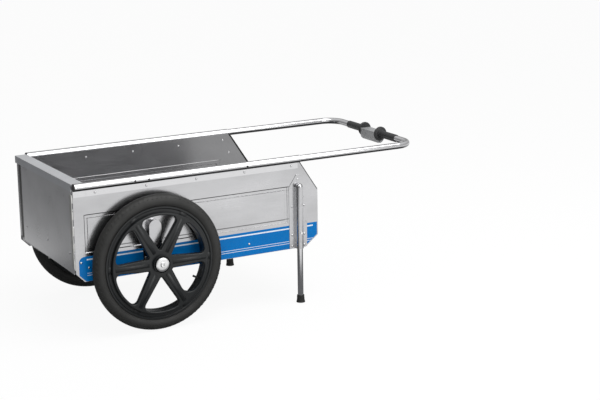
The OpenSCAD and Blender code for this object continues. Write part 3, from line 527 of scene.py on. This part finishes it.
# ---------------------------------------------------------------- wheels and tyres
# Moulded black wheels with six spokes and a ribbed well round the hub cap. The pneumatic
# tyres have a low block tread, and a plated cap holds each wheel on its axle.
spin_tree, taken, given = geometry_tree("spin_copies",
    [("Count", "Int", 12), ("Offset", "Float", 0.0), ("Material", "Material", None)])
seats = node(spin_tree, "GeometryNodeMeshLine", {"Offset": (0, 0, 0), "Count": taken["Count"]})
number = node(spin_tree, "GeometryNodeInputIndex").outputs[0]
pitch = calc(spin_tree, "DIVIDE", 2 * math.pi, taken["Count"])
turned = calc(spin_tree, "ADD", calc(spin_tree, "MULTIPLY", number, pitch), taken["Offset"])
about_axle = node(spin_tree, "ShaderNodeCombineXYZ", {"Y": turned})
copies = node(spin_tree, "GeometryNodeInstanceOnPoints", {"Points": seats.outputs[0],
              "Instance": taken["Geometry"], "Rotation": about_axle.outputs[0]})
finish_tree(spin_tree, copies.outputs[0], taken, given)


def lathe(bm, profile, segments):
    """Turns a closed outline of (radius, y) points about the Y axis into a closed ring."""
    rings = []
    for k in range(segments):
        a = 2 * math.pi * k / segments
        rings.append([bm.verts.new((r * math.cos(a), y, r * math.sin(a))) for r, y in profile])
    for k in range(segments):
        one, two = rings[k], rings[(k + 1) % segments]
        for j in range(len(profile)):
            following = (j + 1) % len(profile)
            bm.faces.new((one[j], one[following], two[following], two[j]))


def bm_mesh(name, bm, smooth_below=0.6):
    """A mesh that is shaded smooth across edges whose angle is below smooth_below."""
    bmesh.ops.recalc_face_normals(bm, faces=bm.faces)
    for face in bm.faces:
        face.smooth = True
    for edge in bm.edges:
        if len(edge.link_faces) == 2 and edge.calc_face_angle(0) > smooth_below:
            edge.smooth = False
    mesh = bpy.data.meshes.new(name)
    bm.to_mesh(mesh)
    bm.free()
    return mesh


def rounded_corners(corners, radii, parts=6):
    """Replaces each corner of a 2D outline that has a radius by an arc."""
    out = []
    for k, corner in enumerate(corners):
        if not radii[k]:
            out.append(Vector(corner))
            continue
        back = (Vector(corners[k - 1]) - Vector(corner)).normalized()
        onward = (Vector(corners[(k + 1) % len(corners)]) - Vector(corner)).normalized()
        half = back.angle(onward) / 2
        reach = radii[k] / math.tan(half)
        centre = Vector(corner) + (back + onward).normalized() * (radii[k] / math.sin(half))
        first, last = Vector(corner) + back * reach - centre, Vector(corner) + onward * reach - centre
        start = math.atan2(first.y, first.x)
        sweep = (math.atan2(last.y, last.x) - start + math.pi) % (2 * math.pi) - math.pi
        for angle in steps(start, start + sweep, parts + 1):
            out.append(centre + Vector((math.cos(angle), math.sin(angle))) * radii[k])
    return [p for k, p in enumerate(out) if (p - out[k - 1]).length > 0.0007]


def plate_mesh(name, outlines, thickness, edge):
    """A flat plate with holes and chamfered edges, in the XZ plane, centred on y = 0."""
    curve = bpy.data.curves.new(name, "CURVE")
    curve.dimensions, curve.fill_mode = "2D", "BOTH"
    curve.extrude, curve.bevel_depth, curve.bevel_resolution = thickness / 2 - edge, edge, 1
    for outline in outlines:
        spline = curve.splines.new("POLY")
        spline.points.add(len(outline) - 1)
        for point, (x, y) in zip(spline.points, outline):
            point.co = (x, y, 0, 1)
        spline.use_cyclic_u = True
    mesh = settled(added(name, curve))
    mesh.transform(Matrix.Rotation(math.pi / 2, 4, "X"))
    return mesh


def box_mesh(name, low_corner, high_corner, edge):
    """A box with chamfered edges."""
    bm = bmesh.new()
    bmesh.ops.create_cube(bm, size=1.0)
    for v in bm.verts:
        v.co = Vector([low + (high - low) * (c + 0.5) for low, high, c in zip(low_corner, high_corner, v.co)])
    bmesh.ops.bevel(bm, geom=bm.edges[:], offset=edge, segments=1, affect="EDGES")
    return bm_mesh(name, bm, 2.0)


def merged(name, pieces, place, mirror):
    """Joins finished pieces into one mesh at place; mirror turns it to the left side."""
    bm = bmesh.new()
    for piece in pieces:
        bm.from_mesh(piece.data)
        bpy.data.objects.remove(piece)
    if mirror:
        bmesh.ops.transform(bm, matrix=Matrix.Scale(-1, 4, (0, 1, 0)), verts=bm.verts)
        bmesh.ops.reverse_faces(bm, faces=bm.faces)
    bmesh.ops.transform(bm, matrix=Matrix.Translation(place), verts=bm.verts)
    mesh = bpy.data.meshes.new(name)
    bm.to_mesh(mesh)
    bm.free()
    return added(name, mesh)


spokes, spoke_hub_w, spoke_rim_w = 6, 0.046, 0.032
rim_in, hub_r, spoke_y = 0.179, 0.033, 0.029
plate_edge, spoke_plate_thick, opening_in = 0.0035, 0.020, 0.0450
hub_round, rim_round, valve_round, arc_step = 0.004, 0.020, 0.038, 0.0065


def round_point(radius, angle):
    return Vector((radius * math.cos(angle), radius * math.sin(angle)))


def spoke_edge(r, side, turn, inset):
    half = spoke_hub_w / 2 + (spoke_rim_w - spoke_hub_w) / 2 * (r - hub_r) / (rim_in - hub_r) - inset
    return Matrix.Rotation(turn, 2) @ Vector((r, side * half))


def opening(turn, inset, inner_r, outer_r, first_round):
    """One opening between two spokes; turn is the first spoke's direction."""
    side_a = [spoke_edge(r, 1, turn, inset) for r in (inner_r, outer_r)]
    side_b = [spoke_edge(r, -1, turn + 2 * math.pi / spokes, inset) for r in (outer_r, inner_r)]
    start = math.atan2(side_a[1].y, side_a[1].x)
    sweep = (math.atan2(side_b[0].y, side_b[0].x) - start) % (2 * math.pi)
    # the rim's arc gives up a point for each arc_step of the corner's radius
    arc = steps(start, start + sweep, 15)[round(first_round / arc_step):-round(rim_round / arc_step)]
    corners = side_a + [round_point(outer_r, angle) for angle in arc] + side_b
    return rounded_corners(corners, [hub_round, first_round] + [0] * len(arc) + [rim_round, hub_round])


def ring_outline(radius, count=96):
    return [round_point(radius, 2 * math.pi * k / count) for k in range(count)]


def wheel_mesh():
    bm = bmesh.new()
    # spoke plate with its rounded openings; the last one is wider round beside the valve
    outlines = [ring_outline(rim_in + 2 * plate_edge)]
    for k in range(spokes):
        first_round = valve_round if k == spokes - 1 else rim_round
        outlines.append(opening(2 * math.pi / spokes * k, plate_edge, opening_in, rim_in + plate_edge,
                                first_round))
    plate = plate_mesh("spoke_plate", outlines, spoke_plate_thick, plate_edge)
    plate.transform(Matrix.Translation((0, spoke_plate_thick / 2 - spoke_y, 0)))
    bm.from_mesh(plate)
    # rim: inner barrel, channel behind the outer lip, lip and bead seat, the same on both sides
    rim = [(0.179, -0.018), (0.181, -0.020), (0.188, -0.020), (0.1895, -0.0165), (0.2005, -0.0165),
           (0.2045, -0.0200), (0.2105, -0.0200), (0.2110, -0.0185), (0.2080, -0.0170), (0.2034, -0.0160)]
    lathe(bm, rim + [(r, -y) for r, y in reversed(rim)], 120)
    # hub with a well round the cap
    lathe(bm, [(0.0075, 0.0085), (0.031, 0.0085), (0.033, 0.0065), (0.033, -0.0385), (0.0325, -0.040),
               (0.0312, -0.040), (0.0306, -0.0390), (0.0302, -0.031), (0.0265, -0.031), (0.0262, -0.0390),
               (0.0255, -0.040), (0.0120, -0.040), (0.0120, -0.030), (0.0075, -0.030)], 48)
    # boss that blends the spokes into the hub
    lathe(bm, [(0.031, -0.0275), (0.0465, -0.0275), (0.049, -0.025), (0.049, -0.013), (0.031, -0.013)], 60)
    return bm_mesh("wheel_body", bm)


tyre_low, tyre_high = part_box("right_tyre")
wheel_x, wheel_y, wheel_z = middle(tyre_low, tyre_high)
tyre_half, wheel_r = (tyre_high.y - tyre_low.y) / 2, (tyre_high.z - tyre_low.z) / 2
tyre_mid = wheel_r - tyre_half


def tyre_section(radius, reach, step):
    """Points round the tyre's section, reach degrees to both sides of the tread's middle."""
    angles = [math.radians(d) for d in range(-reach, reach + 1, step)]
    return [(tyre_mid + radius * math.cos(a), radius * math.sin(a)) for a in angles]


wheel_black = moulded("wheel_black", (0.0055, 0.0070, 0.0078), 0.42, 900.0, 0.6, 0.06)
rubber = moulded("tyre_rubber", (0.0165, 0.0165, 0.0155), 0.62, 500.0, 0.8, 0.1)
# ribs in the hub's well, a spine along each spoke and a pad in the rim's channel at its end:
# how many, lower and upper corner, chamfer
raised = {
    "hub_ribs": (12, (0.0258, -0.0375, -0.0012), (0.0308, -0.030, 0.0012), 0.0004),
    "spoke_spines": (spokes, (0.046, -0.0301, -0.0075), (0.178, -0.026, 0.0075), 0.0012),
    "rim_pads": (spokes, (0.186, -0.0185, -0.013), (0.2030, -0.0150, 0.013), 0.0012)}
# tread rows: middle, half width, shift in block pitches
tread_rows = ((-0.0055, 0.0042, 0.0), (0.0055, 0.0042, 0.5), (-0.0148, 0.0036, 0.5), (0.0148, 0.0036, 0.0))
tread_blocks, block_half, tread_depth = 84, 0.0068, 0.0006
bar_lean, bar_slant, bar_tip = math.radians(46), math.radians(38), math.radians(48)
casing = [(min(r, wheel_r - tread_depth), y) for r, y in tyre_section(tyre_half - 0.0003, 150, 10)]
hollow = tyre_section(tyre_half - 0.0048, 140, 14)
for side, mirror in (("right", False), ("left", True)):
    place = (wheel_x, -wheel_y if mirror else wheel_y, wheel_z)
    pieces = [added("body", wheel_mesh())]
    for name, (count, low_corner, high_corner, edge) in raised.items():
        pieces.append(grow(side + "_" + name, box_mesh(name, low_corner, high_corner, edge), spin_tree,
                           {"Count": count, "Material": wheel_black}))
    wheel = merged(side + "_moulded_wheel", pieces, place, mirror)
    paint(wheel, wheel_black)
    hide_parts(side + "_wheel")
    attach(wheel, side + "_wheel_set")
    bm = bmesh.new()
    lathe(bm, casing + hollow[::-1], 120)
    pieces = [added("carcass", bm_mesh("carcass", bm))]
    for row_y, half, shift in tread_rows:
        crown = tyre_mid + math.sqrt(tyre_half ** 2 - (abs(row_y) + half) ** 2)
        block = box_mesh("block", (crown - 0.0035, row_y - half, -block_half),
                         (crown - 0.0001, row_y + half, block_half), 0.0008)
        pieces.append(grow("row", block, spin_tree, {"Count": tread_blocks, "Material": rubber,
                                                     "Offset": shift * 2 * math.pi / tread_blocks}))
    # slanted bars run from the tread down each shoulder
    for face in (-1, 1):
        bar = box_mesh("bar", (-0.0068, -0.0002, -0.0022), (0.0068, 0.0018, 0.0022), 0.0003)
        bar.transform(Matrix.Rotation(bar_slant, 4, "Y"))
        if face > 0:
            bar.transform(Matrix.Rotation(math.pi, 4, "X"))
        bar.transform(Matrix.Rotation(-face * bar_tip, 4, "Z"))
        shoulder = (tyre_mid + tyre_half * math.cos(bar_lean), face * tyre_half * math.sin(bar_lean), 0)
        bar.transform(Matrix.Translation(shoulder))
        pieces.append(grow("bars", bar, spin_tree,
                           {"Count": tread_blocks, "Material": rubber, "Offset": 0.0}))
    tyre = merged(side + "_treaded_tyre", pieces, place, mirror)
    paint(tyre, rubber)
    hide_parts(side + "_tyre")
    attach(tyre, side + "_wheel_set")
dress(["right_inner_tube", "left_inner_tube"], rubber)
dress(["right_axle", "left_axle", "right_bearings", "left_bearings"], zinc)

# the cap is a shallow dome with a socket in its middle
cap_plate = metal("cap_plate", (0.84, 0.84, 0.84), 0.30, 0.0, 0.1, 0.1, 0.005)[0]
for side, out_y in (("right", -1), ("left", 1)):
    cap_low, cap_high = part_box(side + "_axle_cap")
    back_y, depth = (cap_high.y if out_y < 0 else cap_low.y), cap_high.y - cap_low.y
    bm = bmesh.new()
    lathe(bm, [(0.0048, 0), (0.0258, 0), (0.0262, 0.0012), (0.0258, 0.0026), (0.0235, 0.0040),
               (0.0180, 0.0048), (0.0100, 0.0052), (0.0092, depth - 0.001), (0.0084, depth),
               (0.0055, depth), (0.0048, depth - 0.0012)], 48)
    bmesh.ops.create_cone(bm, segments=32, radius1=0.0052, radius2=0.0052, depth=0.004, cap_ends=True,
                          matrix=Matrix.Translation((0, 0.0022, 0)) @ Matrix.Rotation(math.pi / 2, 4, "X"))
    bmesh.ops.transform(bm, matrix=Matrix.Scale(out_y, 4, (0, 1, 0)), verts=bm.verts)
    hub_cap = added(side + "_domed_cap", bm_mesh("domed_cap", bm))
    hub_cap.data.transform(Matrix.Translation((wheel_x, back_y, wheel_z)))
    paint(hub_cap, cap_plate)
    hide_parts(side + "_axle_cap")
    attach(hub_cap, side + "_side")

# ---------------------------------------------------------------- legs
# Drawn aluminium tubes on rubber feet. A plated spring button holds each one in its bracket.
dress(["right_leg", "left_leg"], metal("bright_tube", *drawn_metal)[0])
dress(["right_foot", "left_foot"], rubber)
plated = metal("bright_plate", (0.80, 0.80, 0.80), 0.12, 0.0, 0.1, 0.2, 0.01)[0]
dress(["right_leg_button", "left_leg_button"], plated)

# ---------------------------------------------------------------- pull handle
# Two bent aluminium tubes that telescope out of the rails, with soft grips, stop discs
# and a moulded coupler, in which a zinc-plated tongue joins the two halves of the crossbar.
tube_low, tube_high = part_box("right_handle_tube")
handle_skin = tube_skin("handle_tube", tube_high.z, tube_high.z - tube_low.z)
dress(["right_handle_tube", "left_handle_tube"], handle_skin)
soft_grip = moulded("soft_grip", (0.016, 0.017, 0.018), 0.50, 700.0, 0.6, 0.08)
dress(["right_grip", "left_grip", "right_disc", "left_disc"], soft_grip)
grey_moulding = moulded("grey_moulding", (0.27, 0.275, 0.28), 0.40, 900.0, 0.4, 0.05)
dress(["coupler_block"], grey_moulding)
dress(["coupler_tongue"], zinc)

low_corner, high_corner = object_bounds()
